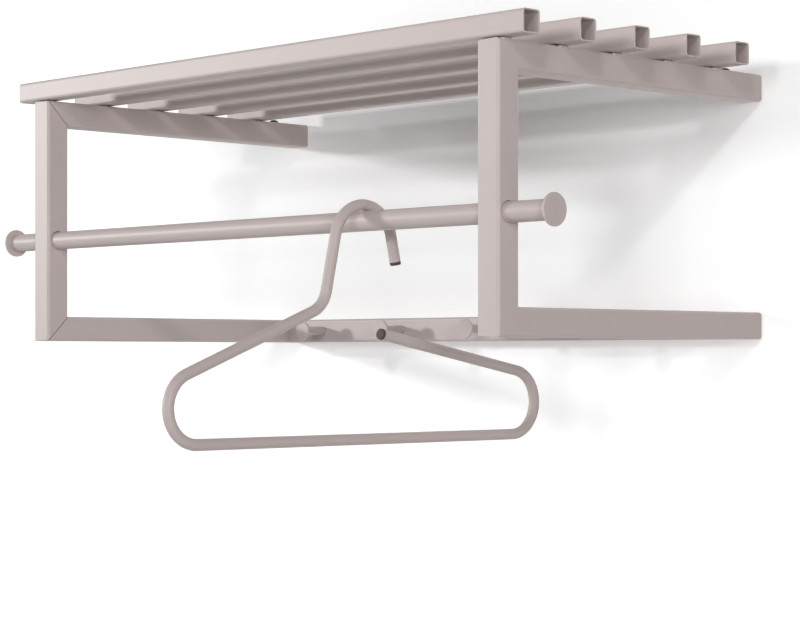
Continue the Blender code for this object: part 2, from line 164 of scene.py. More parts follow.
# %% The outline and the broken edge
CORNER_STEPS = 8
LEAST_RADIUS = 0.2 * MM
FLAT_HOLD = 0.25 * MM
EDGE = 0.25 * MM
EDGE_INSET = EDGE * np.array([1.0, 0.29, 0.0, 0.0])
EDGE_DEPTH = EDGE * np.array([0.0, 0.29, 1.0, 4.0])
EDGE_RIM = np.array([0.8, 1.0, 0.7, 0.0])
arc_rim = np.sin(np.linspace(0, math.pi, CORNER_STEPS + 1))
CORNER_RIM = np.tile(np.concatenate(([0.0], arc_rim, [0.0])), 4)
print("points in a tube's outline:", len(CORNER_RIM))


def rounded_squares(side, radius):
    """One rounded square per row: each corner is its middle plus the radius times a quarter of directions."""
    side = np.asarray(side, float)[:, None, None, None]
    radius = np.maximum(np.asarray(radius, float), LEAST_RADIUS)[:, None, None, None]
    corner = np.radians([45, 135, 225, 315])[:, None]
    turn = corner + np.radians(np.linspace(-45, 45, CORNER_STEPS + 1))
    direction = np.stack((np.cos(turn), np.sin(turn)), axis=-1)
    along = np.stack((-np.sin(turn), np.cos(turn)), axis=-1)
    middle = math.sqrt(2) * np.stack((np.cos(corner), np.sin(corner)), axis=-1)
    arcs = (side / 2 - radius) * middle + radius * direction
    before = arcs[:, :, :1] - FLAT_HOLD * along[:, :1]
    after = arcs[:, :, -1:] + FLAT_HOLD * along[:, -1:]
    return np.concatenate((before, arcs, after), axis=2).reshape(len(side), -1, 2)


# %% Carry the outline down the tube and back
AXES = {"x": 0, "y": 1, "z": 2}
INNER_RADIUS = 2 * MM
SOLID_GAP = 0.3 * MM
MITRE_CLOSE = SOLID_GAP / math.sqrt(2) + EDGE
MITRE_OPEN = 0.32 * MM


def square_tube(node, along, up, wall, radius, mitres=(0, 0), reach=0.0, ground=0):
    """Rings down the outside of the tube and back up its inside, between the ends of the solid.

    A mitred end moves each point along the tube by the mitre times its height in the outline. On the ground
    side it then goes on until it meets its neighbour, and on the other side it stays a little further back.
    Reach makes both ends longer, to close a welded joint.
    """
    low, high = (np.array(end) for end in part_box(node))
    line, rise = AXES[along], AXES[up]
    side = (high - low)[rise]
    start = (low + high) / 2
    start[line] = low[line] + (side / 2 if mitres[0] else -reach)
    length = high[line] - (side / 2 if mitres[1] else -reach) - start[line]
    inset = np.concatenate((EDGE_INSET, EDGE_INSET[::-1], wall - EDGE_INSET, wall - EDGE_INSET[::-1]))
    depth = np.concatenate((EDGE_DEPTH, length - EDGE_DEPTH[::-1], length - EDGE_DEPTH, EDGE_DEPTH[::-1]))
    mitre = np.repeat([mitres[0], mitres[1], mitres[1], mitres[0]], len(EDGE_INSET))
    outline = rounded_squares(side - 2 * inset, np.maximum(radius - inset, INNER_RADIUS))
    rings = np.empty(outline.shape[:2] + (3,))
    rings[..., 3 - line - rise] = outline[..., 0]
    rings[..., rise] = outline[..., 1]
    rings[..., line] = depth[:, None] + mitre[:, None] * outline[..., 1]
    outward = np.abs(mitre) * np.repeat([-1, 1, 1, -1], len(EDGE_INSET))
    rings[..., line] += outward[:, None] * np.where(ground * outline[..., 0] > 0, MITRE_CLOSE, -MITRE_OPEN)
    rim = np.maximum(np.tile(np.concatenate((EDGE_RIM, EDGE_RIM[::-1])), 2)[:, None], CORNER_RIM)
    return dress(node, start + rings, True, rim)


# %% [markdown]
# ## Drilled holes
# The uprights are drilled for the rail, the bar for its pegs, the slats for their screws. A hole could be
# woven into the grid, but every hole would then need its own pattern of quads. A Boolean with round cutters
# does what the drill did, and it is applied at once so that the piece keeps a plain mesh.

# %% Drill through a piece
DRILL_PAST = 5 * MM


def rod(start, end, radius, sides=48):
    """Two rings about a straight line: the line's end plus the radius times cosine and sine across it."""
    start, end = np.array(start, float), np.array(end, float)
    line = (end - start) / np.linalg.norm(end - start)
    across = np.cross(line, np.roll(line, 1))
    turn = np.linspace(0, 2 * math.pi, sides, endpoint=False)[:, None]
    around = radius * (np.cos(turn) * across + np.sin(turn) * np.cross(line, across))
    return np.stack((start + around, end + around))


def drill(piece, cutters):
    """Take lofted cutters out of a piece and keep the result as its mesh.

    All cutters go into one mesh, so the faces of each count on from the points of those before it.
    """
    points = np.empty((0, 3))
    faces = []
    for rings in cutters:
        cutter_points, cutter_faces = loft(rings, False)
        faces += [[len(points) + corner for corner in face] for face in cutter_faces]
        points = np.concatenate((points, cutter_points))
    mesh = bpy.data.meshes.new("cutter")
    mesh.from_pydata(points, [], faces)
    face_outward(mesh)
    cutter = bpy.data.objects.new("cutter", mesh)
    bpy.context.scene.collection.objects.link(cutter)
    boolean = piece.modifiers.new("drill", "BOOLEAN")
    boolean.operation = "DIFFERENCE"
    boolean.solver = "EXACT"
    boolean.object = cutter
    drilled = piece.evaluated_get(bpy.context.evaluated_depsgraph_get())
    piece.data = bpy.data.meshes.new_from_object(drilled)
    piece.modifiers.clear()
    bpy.data.objects.remove(cutter)
    shade(piece.data)


def middle(node):
    """Half way between a solid's lowest and highest corners."""
    low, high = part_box(node)
    return np.array((low + high) / 2)


# %% [markdown]
# ## Side frames
# Each frame is three tubes cut at 45 degrees and welded. On the outside the weld is ground flush, so no seam
# shows under the paint, and on the inside the mitre stays an open, dark line. The solids leave a thin gap
# there all round, and here the ends are drawn together on the outer side only. The holes for the rail sit a
# hair high, because the rail lies in the bottom of them.

# %% Arms and uprights
FRAME_WALL = 1.5 * MM
FRAME_RADIUS = 2.8 * MM
RAIL_HOLE = 9.4 * MM
RAIL_PLAY = 0.3 * MM
INSERT_HOLE = 3.9 * MM
PLUG_HOLE = 3.2 * MM
HOLE_BELOW = 5 * MM
HOLE_ABOVE = 9 * MM
SIDES = ("left", "right")
SLATS = range(1, 6)
rail_y, rail_z = middle("hanging_rail")[1:]


def hole_for(node, radius):
    """An upright cutter about a small solid, long enough for the arm's upper wall alone."""
    x, y, z = middle(node)
    return rod((x, y, z - HOLE_BELOW), (x, y, z + HOLE_ABOVE), radius)


for side, sign in zip(SIDES, (-1, 1)):
    top_arm = square_tube(f"{side}_top_arm", "y", "z", FRAME_WALL, FRAME_RADIUS, (-1, 0), ground=sign)
    holes = [hole_for(f"slat_insert_{number}_{side}", INSERT_HOLE) for number in SLATS]
    drill(top_arm, holes + [hole_for(f"arm_plug_{side}", PLUG_HOLE)])
    square_tube(f"{side}_bottom_arm", "y", "z", FRAME_WALL, FRAME_RADIUS, (1, 0), ground=sign)
    upright = square_tube(f"{side}_upright", "z", "y", FRAME_WALL, FRAME_RADIUS, (1, -1), ground=sign)
    low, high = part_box(f"{side}_upright")
    z = rail_z + RAIL_PLAY
    drill_in = (low[0] - DRILL_PAST, rail_y, z)
    drill_out = (high[0] + DRILL_PAST, rail_y, z)
    drill(upright, [rod(drill_in, drill_out, RAIL_HOLE, sides=64)])
print("frame tubes:", len(pieces))

# %% [markdown]
# ## Rear end caps
# The arms end at the wall in caps with a rounded rim, filled and painted over so that no seam shows. The rim
# is a quarter circle: going in by one minus its cosine while going back by one minus its sine. The upper
# caps have keyholes: a round entry for the screw's head and a narrow slot above it for the shank.

# %% Caps and keyholes
CAP_ROUNDING = 3 * MM
CAP_STEPS = 10
CAP_SEAM = 0.28 * MM
COLLAR_INSET = 1.8 * MM
COLLAR_WALL = 1.5 * MM
CAP_PLATE = 4 * MM
KEYHOLE_HEAD = 4.5 * MM
KEYHOLE_SHANK = 2.3 * MM
KEYHOLE_RISE = 6.5 * MM
KEYHOLE_STEPS = 20


def end_cap(node):
    """Rounded squares from the rear face over the rim to the tube, then the collar that goes inside it."""
    low, high = (np.array(end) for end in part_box(node))
    side = (high - low)[2]
    turn = np.radians(np.linspace(90, 0, CAP_STEPS))
    inset = CAP_ROUNDING * (1 - np.cos(turn))
    depth = CAP_ROUNDING * (1 - np.sin(turn))
    deep = high[1] - low[1]
    seam = CAP_PLATE + CAP_SEAM
    inner = COLLAR_INSET + COLLAR_WALL
    inset = np.concatenate(([inset[0] + FLAT_HOLD], inset, [0, COLLAR_INSET, COLLAR_INSET, inner, inner]))
    depth = np.concatenate(([0], depth, [seam, seam, deep, deep, CAP_PLATE]))
    outline = rounded_squares(side - 2 * inset, FRAME_RADIUS - np.minimum(inset, FRAME_WALL))
    rings = np.empty(outline.shape[:2] + (3,))
    rings[..., 0] = outline[..., 0]
    rings[..., 1] = -depth[:, None]
    rings[..., 2] = outline[..., 1]
    centre = (low + high) / 2
    centre[1] = high[1]
    return dress(node, centre + rings, False)


def keyhole(node):
    """A circle, open at the top where the slot is as wide as its chord, then the slot's round end."""
    x, _, z = middle(node)
    foot = math.acos(KEYHOLE_SHANK / KEYHOLE_HEAD)
    entry = np.linspace(math.pi - foot, 2 * math.pi + foot, 2 * KEYHOLE_STEPS)
    arch = np.linspace(0, math.pi, KEYHOLE_STEPS)
    across = np.concatenate((KEYHOLE_HEAD * np.cos(entry), KEYHOLE_SHANK * np.cos(arch)))
    up = np.concatenate((KEYHOLE_HEAD * np.sin(entry), KEYHOLE_RISE + KEYHOLE_SHANK * np.sin(arch)))
    up -= (up.max() + up.min()) / 2
    ends = [np.stack((x + across, np.full_like(up, y), z + up), axis=-1) for y in (-2 * CAP_PLATE, CAP_PLATE)]
    return np.stack(ends)


for side in SIDES:
    upper = end_cap(f"{side}_top_end_cap")
    drill(upper, [keyhole(f"{side}_top_end_cap")])
    end_cap(f"{side}_bottom_end_cap")
print("pieces with caps:", len(pieces))

# %% [markdown]
# ## Slats
# The slats are thinner tube with open ends, so their walls show. Each is held by a screw that stands inside
# it, on its lower wall, and the screwdriver reaches it through a hole in the upper wall.

# %% Slats with their holes
SLAT_WALL = 1.2 * MM
SLAT_RADIUS = 3 * MM
SCREW_HOLE = 2.8 * MM
ACCESS_HOLE = 5.5 * MM
CUTTER_GAP = 2 * MM
for number in SLATS:
    slat = square_tube(f"slat_{number}", "x", "z", SLAT_WALL, SLAT_RADIUS)
    low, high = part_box(f"slat_{number}")
    z = middle(f"slat_{number}")[2]
    holes = []
    for side in SIDES:
        x, y, _ = middle(f"slat_screw_{number}_{side}")
        holes.append(rod((x, y, low[2] - DRILL_PAST), (x, y, z), SCREW_HOLE))
        holes.append(rod((x, y, z + CUTTER_GAP), (x, y, high[2] + DRILL_PAST), ACCESS_HOLE))
    drill(slat, holes)
print("pieces with slats:", len(pieces))

# %% [markdown]
# ## Turned pieces
# Inserts, screws, pegs, caps and plugs come off a lathe, so each is a profile turned about an axis. The Spin
# tool does this too, but an array of radius and height is easier to check against the solid, and its radius
# may also change round the turn, which gives a screw its hexagonal socket.


# %% Turn a profile
def turned(node, base, axis, radius, height, wrap=False, sides=48, rim=None):
    """Rings about an axis: base plus radius times cosine and sine across it, plus height along it.

    The radius may have a second dimension that changes it round the turn.
    """
    axis = np.asarray(axis, float)
    axis = axis / np.linalg.norm(axis)
    helper = np.array((1.0, 0.0, 0.0)) if abs(axis[0]) < 0.9 else np.array((0.0, 1.0, 0.0))
    across = np.cross(axis, helper)
    across /= np.linalg.norm(across)
    turn = np.linspace(0, 2 * math.pi, sides, endpoint=False)[None, :, None]
    around = np.cos(turn) * across + np.sin(turn) * np.cross(axis, across)
    radius = np.asarray(radius, float)
    radius = radius[:, None, None] if radius.ndim == 1 else radius[..., None]
    rings = np.asarray(base, float) + radius * around + np.asarray(height, float)[:, None, None] * axis
    return dress(node, rings, wrap, None if rim is None else np.asarray(rim, float)[:, None])


def quarter(middle_radius, middle_height, rounding, start, end, steps=5):
    """Points on an arc of a profile: its middle plus the rounding times cosine and sine of the angle."""
    turn = np.radians(np.linspace(start, end, steps))
    radius = middle_radius + rounding * np.cos(turn)
    height = middle_height + rounding * np.sin(turn)
    return np.stack((radius, height), axis=-1)


# %% [markdown]
# ## Inserts and screws
# A flanged insert in the arm gives each slat screw its thread, and its flange is the little disc that holds
# the slat off the arm. The screws are button heads: a low dome, and a hexagonal socket whose radius is half
# the distance across its flats, divided by the cosine of the angle from the middle of the nearest flat.

# %% Make them
INSERT_BORE = 2.8 * MM
INSERT_BODY = 3.6 * MM
INSERT_FLANGE = 5.0 * MM
FLANGE = 0.6 * MM
FLANGE_EDGE = 0.2 * MM
SCREW_SHANK = 2.5 * MM
SCREW_TIP = 0.5 * MM
SCREW_HEAD = 4.75 * MM
HEAD_HEIGHT = 2.7 * MM
HEAD_EDGE = 0.35
DOME_REACH = 0.45
SOCKET = 1.7 * MM
SOCKET_DEPTH = 1.5 * MM
SOCKET_LIP = 1.06
SOCKET_CHAMFER = 0.1 * MM
SCREW_SIDES = 48


def insert(node):
    """A bore, a plain body below the arm's top and a flange above it whose rim is two quarter circles."""
    low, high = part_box(node)
    base = middle(node)
    base[2] = low[2]
    top = high[2] - low[2]
    under = top - FLANGE
    lower = quarter(INSERT_FLANGE - FLANGE_EDGE, under + FLANGE_EDGE, FLANGE_EDGE, -90, 0)
    upper = quarter(INSERT_FLANGE - FLANGE_EDGE, top - FLANGE_EDGE, FLANGE_EDGE, 0, 90)
    start = [(INSERT_BORE, 0), (INSERT_BODY, 0), (INSERT_BODY, under)]
    profile = np.concatenate((start, lower, upper, [(INSERT_BORE, top)]))
    rim = np.concatenate((np.zeros(len(start)), np.ones(len(lower) + len(upper)), [0]))
    turned(node, base, (0, 0, 1), profile[:, 0], profile[:, 1], True, rim=rim)


def screw(node, base, axis):
    """A shank below the base, a domed head above it, and the socket down into the head.

    The dome goes in by one minus the cosine of its angle and up by the sine, from the head's upright edge.
    """
    dome = np.radians(np.linspace(0, 70, 8))
    dome_radius = SCREW_HEAD * (1 - DOME_REACH * (1 - np.cos(dome)))
    dome_height = HEAD_HEIGHT * (HEAD_EDGE + (1 - HEAD_EDGE) * np.sin(dome) / math.sin(dome[-1]))
    low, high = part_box(node)
    length = np.linalg.norm(np.array(high - low) * axis) - HEAD_HEIGHT
    shank = [SCREW_SHANK - SCREW_TIP, SCREW_SHANK, SCREW_SHANK, SCREW_HEAD]
    radius = np.concatenate((shank, dome_radius))
    height = np.concatenate(([-length, SCREW_TIP - length, 0, 0], dome_height))
    turn = np.linspace(0, 2 * math.pi, SCREW_SIDES, endpoint=False)
    flat = (turn + math.pi / 6) % (math.pi / 3) - math.pi / 6
    hexagon = SOCKET * math.cos(math.pi / 6) / np.cos(flat)
    round_rows = np.repeat(radius[:, None], SCREW_SIDES, axis=1)
    rows = np.concatenate((round_rows, [hexagon * SOCKET_LIP, hexagon, hexagon]))
    height = np.concatenate((height, HEAD_HEIGHT - np.array([0, SOCKET_CHAMFER, SOCKET_DEPTH])))
    turned(node, base, axis, rows, height, sides=SCREW_SIDES)


for number in SLATS:
    for side in SIDES:
        insert(f"slat_insert_{number}_{side}")
        node = f"slat_screw_{number}_{side}"
        base = middle(node)
        base[2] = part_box(node)[1][2] - HEAD_HEIGHT
        screw(node, base, (0, 0, 1))
print("pieces with inserts and screws:", len(pieces))

# %% [markdown]
# ## Weld beads
# Under each slat a short bead of weld fills the corner between the slat and the arm's outer edge. No solid
# stands for it, as it is only a skin of metal. It is an ellipse that swells and closes along the arm, with
# the faint ripple that each dip of the welding rod leaves.

# %% Lay the beads
BEAD_LENGTH = 11.5 * MM
BEAD_WIDTH = 2.4 * MM
BEAD_INSET = 1.9 * MM
BEAD_RIPPLE = 0.04
RIPPLES = 5
BEAD_STEPS = 26
BEAD_SIDES = 28


def weld_bead(number, side, sign):
    """Ellipses along the arm, as large as the square root of one minus the fourth power of the way along."""
    slat_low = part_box(f"slat_{number}")[0]
    arm_low, arm_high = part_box(f"{side}_top_arm")
    outer = arm_high[0] if sign > 0 else arm_low[0]
    way = np.sin(np.linspace(-math.pi / 2, math.pi / 2, BEAD_STEPS)[1:-1])
    swell = np.sqrt(1 - way**4) * (1 + BEAD_RIPPLE * np.cos(RIPPLES * math.pi * way))
    height = slat_low[2] - arm_high[2] + BEAD_WIDTH
    turn = np.linspace(0, 2 * math.pi, BEAD_SIDES, endpoint=False)
    rings = np.empty((len(way), BEAD_SIDES, 3))
    rings[..., 0] = outer - sign * BEAD_INSET + BEAD_WIDTH * swell[:, None] * np.cos(turn)
    rings[..., 1] = middle(f"slat_{number}")[1] + BEAD_LENGTH / 2 * way[:, None]
    rings[..., 2] = slat_low[2] - height / 2 + height / 2 * swell[:, None] * np.sin(turn)
    return form(f"weld_bead_{number}_{side}", rings, False, "rack_frame", "powder_coat")


for number in SLATS:
    for side, sign in zip(SIDES, (-1, 1)):
        weld_bead(number, side, sign)
print("pieces with weld beads:", len(pieces))

# %% [markdown]
# ## Button plugs
# Between the rear slat and the wall a dark button plug closes a hole in the top of each upper arm. Its dome
# is part of an ellipse: flat on top, steeper towards the rim, with a short upright edge below.

# %% Press them in
PLUG_STEM = 3 * MM
PLUG_SEAT = 0.1 * MM
PLUG_BRIM = 1 * MM
plug_dome = np.radians(np.linspace(0, 84, 12))
for side in SIDES:
    node = f"arm_plug_{side}"
    low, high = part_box(node)
    head = (high[0] - low[0]) / 2
    base = middle(node)
    base[2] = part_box(f"{side}_top_arm")[1][2]
    rise = high[2] - base[2] - PLUG_BRIM
    start = [(PLUG_STEM, low[2] - base[2]), (PLUG_STEM, PLUG_SEAT), (head - PLUG_SEAT, PLUG_SEAT)]
    crown = np.stack((head * np.cos(plug_dome), PLUG_BRIM + rise * np.sin(plug_dome)), axis=-1)
    profile = np.concatenate((start, [(head, 2 * PLUG_SEAT)], crown))
    turned(node, base, (0, 0, 1), profile[:, 0], profile[:, 1])
print("pieces with button plugs:", len(pieces))

# %% [markdown]
# ## The bar and its pegs
# A square tube is welded between the bottom arms at the wall. Round pegs go into its front wall and are
# pulled tight by screws from behind. A peg is a rod with a disc head that keeps a coat's loop from slipping
# off. The head's edges are turned with a small radius, which catches a thin line of light.

# %% Bar, pegs and peg screws
PEGS = range(1, 6)
PEG_RADIUS = 4.5 * MM
PEG_HEAD = 10 * MM
PEG_HEAD_THICKNESS = 2.5 * MM
PEG_EDGE = 0.5 * MM
PEG_BORE_DEPTH = 14 * MM
PEG_FIT = 0.15 * MM
WELD_REACH = 0.28 * MM


def peg(node):
    """A rod from the bar forwards, with a bore for its screw and a disc head rimmed by quarter circles."""
    low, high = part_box(node)
    base = middle(node)
    base[1] = high[1]
    top = high[1] - low[1]
    under = top - PEG_HEAD_THICKNESS
    lower = quarter(PEG_HEAD - PEG_EDGE, under + PEG_EDGE, PEG_EDGE, -90, 0)
    upper = quarter(PEG_HEAD - PEG_EDGE, top - PEG_EDGE, PEG_EDGE, 0, 90)
    start = [(SCREW_HOLE, PEG_BORE_DEPTH), (SCREW_HOLE, 0), (PEG_RADIUS - EDGE, 0), (PEG_RADIUS, EDGE)]
    neck = [(PEG_RADIUS, under - 2 * EDGE), (PEG_RADIUS + EDGE, under), (PEG_RADIUS + 3 * EDGE, under)]
    profile = np.concatenate((start, neck, lower, upper, [(PEG_HEAD - PEG_EDGE - FLAT_HOLD, top)]))
    rim = np.concatenate((np.zeros(len(start) + len(neck)), np.ones(len(lower) + len(upper)), [0]))
    turned(node, base, (0, -1, 0), profile[:, 0], profile[:, 1], rim=rim)


bar = square_tube("hook_bar", "x", "z", FRAME_WALL, FRAME_RADIUS, reach=WELD_REACH)
bar_low, bar_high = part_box("hook_bar")
bar_y = middle("hook_bar")[1]
holes = []
for number in PEGS:
    x, _, z = middle(f"peg_hook_{number}")
    holes.append(rod((x, bar_low[1] - DRILL_PAST, z), (x, bar_y, z), PEG_RADIUS + PEG_FIT))
    holes.append(rod((x, bar_y + CUTTER_GAP, z), (x, bar_high[1] + DRILL_PAST, z), SCREW_HOLE))
    peg(f"peg_hook_{number}")
    node = f"hook_screw_{number}"
    screw(node, (x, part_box(node)[1][1] - HEAD_HEIGHT, z), (0, 1, 0))
drill(bar, holes)
print("pieces with the bar:", len(pieces))

# %% [markdown]
# ## The rail
# The rail is a plain round tube that turns loosely in the uprights. Each end is closed by a flat disc, wide
# enough to keep the rail from sliding out.

# %% Rail and end discs
RAIL_BORE = 7.5 * MM
DISC_THICKNESS = 2.5 * MM
DISC_EDGE = 0.5 * MM
SPIGOT_PLAY = 0.3 * MM
RAIL_SIDES = 72
rail_low, rail_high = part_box("hanging_rail")
rail_radius = (rail_high[2] - rail_low[2]) / 2
rail_length = rail_high[0] - rail_low[0]
rail_start = (rail_low[0], rail_y, rail_z)
rail_walls = (rail_radius, rail_radius, RAIL_BORE, RAIL_BORE)
rail_ends = (0, rail_length, rail_length, 0)
turned("hanging_rail", rail_start, (1, 0, 0), rail_walls, rail_ends, True, RAIL_SIDES)
for side, sign in zip(SIDES, (-1, 1)):
    node = f"rail_cap_{side}"
    low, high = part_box(node)
    disc = (high[2] - low[2]) / 2
    spigot = high[0] - low[0] - DISC_THICKNESS
    inner_face = (high[0] if sign > 0 else low[0]) - sign * DISC_THICKNESS
    inner = quarter(disc - DISC_EDGE, DISC_EDGE, DISC_EDGE, -90, 0)
    outer = quarter(disc - DISC_EDGE, DISC_THICKNESS - DISC_EDGE, DISC_EDGE, 0, 90)
    stem = RAIL_BORE - SPIGOT_PLAY
    flat = disc - DISC_EDGE - FLAT_HOLD
    start = [(stem, -spigot), (stem, -SOLID_GAP), (rail_radius, -CAP_SEAM), (rail_radius, 0), (flat, 0)]
    profile = np.concatenate((start, inner, outer, [(flat, DISC_THICKNESS)]))
    rim = np.concatenate((np.zeros(len(start)), np.ones(len(inner) + len(outer)), [0]))
    base = (inner_face, rail_y, rail_z)
    turned(node, base, (sign, 0, 0), profile[:, 0], profile[:, 1], sides=RAIL_SIDES, rim=rim)
print("pieces with the rail:", len(pieces))

# %% [markdown]
# ## The hanger
# One length of round tube is bent into the hanger: a hook over the rail, a neck, a sloping front shoulder, a
# round front end, a level bar, a round rear end and a rear shoulder that stops short. The middle line is arcs
# joined by straight runs, in the plane across the rail. At each point the ring lies across the line, in the
# direction of the rail and of the line's own normal. Dark plugs close both ends.

# %% The hanger's middle line
HANGER_RADIUS = 5 * MM
HANGER_BORE = 4 * MM
HOOK_RADIUS = 34 * MM
HOOK_FLARE = 12.5
HOOK_TOP = rail_radius + HANGER_RADIUS + SOLID_GAP
TIP_RUN = 22.5 * MM
NECK_DROP = 75 * MM
NECK_BEND = 25 * MM
BAR_DROP = 190.8 * MM
END_RADIUS = 30 * MM
FRONT_REACH = 186.4 * MM
REAR_REACH = 189.8 * MM
REAR_SLOPE = 10.6
REAR_RUN = 176 * MM
BEND_STEP = 3
HANGER_SIDES = 40


def heading(degrees):
    """A step of length one: the cosine of the angle to the rear and its sine upwards."""
    return np.array((math.cos(math.radians(degrees)), math.sin(math.radians(degrees))))


def bend(centre, radius, start, end):
    """An arc of the middle line: its centre plus the radius times cosine and sine."""
    turn = np.radians(np.linspace(start, end, math.ceil(abs(end - start) / BEND_STEP) + 1))
    return centre + radius * np.stack((np.cos(turn), np.sin(turn)), axis=-1)


hook = bend((0, HOOK_TOP - HOOK_RADIUS), HOOK_RADIUS, HOOK_FLARE, 180 - HOOK_FLARE)
tip = hook[0] + TIP_RUN * heading(HOOK_FLARE - 90)
neck_angle = 270 - HOOK_FLARE
neck = heading(neck_angle)
corner = hook[-1] + neck * (hook[-1][1] + NECK_DROP) / -neck[1]
bend_z = END_RADIUS - BAR_DROP
front_centre = np.array((-FRONT_REACH, bend_z))
away = front_centre - corner
touch = math.asin(END_RADIUS / np.linalg.norm(away))
shoulder_angle = math.degrees(math.atan2(away[1], away[0]) - touch) % 360
half_turn = math.radians(neck_angle - shoulder_angle) / 2
bend_start = corner - neck * NECK_BEND * math.tan(half_turn)
neck_centre = bend_start + NECK_BEND * heading(neck_angle - 90)
neck_arc = bend(neck_centre, NECK_BEND, neck_angle + 90, shoulder_angle + 90)
front_arc = bend(front_centre, END_RADIUS, shoulder_angle - 90, 270)
rear_arc = bend((REAR_REACH, bend_z), END_RADIUS, 270, 450 - REAR_SLOPE)
free_end = rear_arc[-1] + REAR_RUN * heading(180 - REAR_SLOPE)
line = np.vstack((tip, hook, neck_arc, front_arc, rear_arc, free_end)) + (rail_y, rail_z)
run = np.linalg.norm(np.diff(line, axis=0), axis=1)
print("hanger tube length in mm:", round(run.sum() / MM))

# %% Carry the tube's ring along it
RUN_STEP = 6 * MM
stops = np.concatenate(([0], np.cumsum(run)))
extra = np.arange(RUN_STEP, stops[-1] - RUN_STEP / 2, RUN_STEP)
far = np.abs(extra[:, None] - stops).min(axis=1) > RUN_STEP / 3
places = np.sort(np.concatenate((stops, extra[far], [4 * EDGE, stops[-1] - 4 * EDGE])))
path = np.stack((np.interp(places, stops, line[:, 0]), np.interp(places, stops, line[:, 1])), axis=-1)
step = np.diff(path, axis=0)
step /= np.linalg.norm(step, axis=1)[:, None]
direction = np.vstack((step[:1], step[:-1] + step[1:], step[-1:]))
direction /= np.linalg.norm(direction, axis=1)[:, None]
hanger_x = middle("hanger")[0]


def carried(radius):
    """Rings along the path, whose points are the path's own.

    To each is added the radius times the turn's cosine along the normal, and times its sine along the rail.
    """
    turn = np.linspace(0, 2 * math.pi, HANGER_SIDES, endpoint=False)
    normal = np.stack((-direction[:, 1], direction[:, 0]), axis=-1)
    rings = np.empty((len(path), HANGER_SIDES, 3))
    rings[..., 0] = hanger_x + radius * np.sin(turn)
    rings[..., 1:] = path[:, None] + radius * np.cos(turn)[None, :, None] * normal[:, None]
    return rings


tube = np.concatenate((carried(HANGER_RADIUS), carried(HANGER_BORE)[::-1]))
dress("hanger", tube, True)

# %% Plugs in its ends
PLUG_FLANGE = 3 * MM
PLUG_SPIGOT = 8 * MM
PLUG_EDGE = 0.8 * MM
PLUG_CROWN = 0.55 * HANGER_RADIUS
spigot = HANGER_BORE - SPIGOT_PLAY
start = [(spigot, -PLUG_SPIGOT), (spigot, PLUG_SEAT), (HANGER_RADIUS - PLUG_SEAT, PLUG_SEAT)]
soft = quarter(HANGER_RADIUS - PLUG_EDGE, PLUG_FLANGE - PLUG_EDGE, PLUG_EDGE, 0, 80, steps=7)
profile = np.concatenate((start, [(HANGER_RADIUS, EDGE)], soft, [(PLUG_CROWN, PLUG_FLANGE)]))
for name, end, outward in (("tip", path[0], -direction[0]), ("free", path[-1], direction[-1])):
    base = (hanger_x, *end)
    turned(f"hanger_plug_{name}", base, (0, *outward), profile[:, 0], profile[:, 1], sides=HANGER_SIDES)
print("all pieces:", len(pieces))

# %% [markdown]
# ## Powder coat
# The tubes wear a satin powder coat in a warm grey. Sprayed powder melts into a skin with a faint orange
# peel about a millimetre across, its tone drifts a little over a hand's breadth, and it pulls thin on sharp
# edges, which look a shade paler and smoother. A flat colour would miss all three, so noise gives the peel
# and the drift, and the stored rim value gives the edges.


# %% Node helpers
def node_adder(tree):
    """A function that adds a node to a tree, sets its values, and fills or links its sockets."""

    def add(kind, links=None, **values):
        node = tree.nodes.new(kind)
        for key, value in values.items():
            setattr(node, key, value)
        for socket, source in (links or {}).items():
            if hasattr(source, "is_output"):
                tree.links.new(source, node.inputs[socket])
            else:
                node.inputs[socket].default_value = source
        return node

    return add


def new_finish(name):
    """A material, its Principled node, its links, and a function that adds a node to it."""
    material = bpy.data.materials.new(name)
    material.use_nodes = True
    tree = material.node_tree
    return material, tree.nodes["Principled BSDF"], tree.links, node_adder(tree)


# %% The coat
COAT = (0.56, 0.482, 0.468, 1)
COAT_DRIFT = (0.585, 0.507, 0.493, 1)
COAT_RIM = (0.64, 0.572, 0.558, 1)


def powder_coat():
    """The colour goes from the coat to its drift by a coarse noise, then to the rim's by rim times noise.

    Two finer noises give the roughness and the orange peel.
    """
    material, surface, links, add = new_finish("satin_powder_coat")
    place = add("ShaderNodeTexCoord").outputs["Object"]
    drift = add("ShaderNodeTexNoise", {"Vector": place, "Scale": 14.0, "Detail": 3.0}).outputs["Fac"]
    peel = add("ShaderNodeTexNoise", {"Vector": place, "Scale": 850.0, "Detail": 2.0})
    grain = add("ShaderNodeTexNoise", {"Vector": place, "Scale": 2600.0, "Detail": 1.0})
    rim = add("ShaderNodeAttribute", attribute_name="rim").outputs["Fac"]
    worn = add("ShaderNodeMath", {0: rim, 1: drift}, operation="MULTIPLY").outputs[0]

    tone = add("ShaderNodeMix", {"Factor": drift, "A": COAT, "B": COAT_DRIFT}, data_type="RGBA")
    coat = tone.outputs["Result"]
    edge = add("ShaderNodeMix", {"Factor": worn, "A": coat, "B": COAT_RIM}, data_type="RGBA")
    links.new(edge.outputs["Result"], surface.inputs["Base Color"])

    rough = add("ShaderNodeMapRange", {"Value": grain.outputs["Fac"], "To Min": 0.40, "To Max": 0.52})
    links.new(rough.outputs["Result"], surface.inputs["Roughness"])
    surface.inputs["Specular IOR Level"].default_value = 0.37
    bump = add("ShaderNodeBump", {"Height": peel.outputs["Fac"], "Strength": 0.25, "Distance": 0.0001})
    links.new(bump.outputs["Normal"], surface.inputs["Normal"])
    return material


# %% [markdown]
# ## Zinc and dark plastic
# The screws are zinc plated: grey metal whose plating is cloudy at the scale of a grain. The plugs are matt
# moulded plastic, nearly black, with a fine spark-eroded grain.

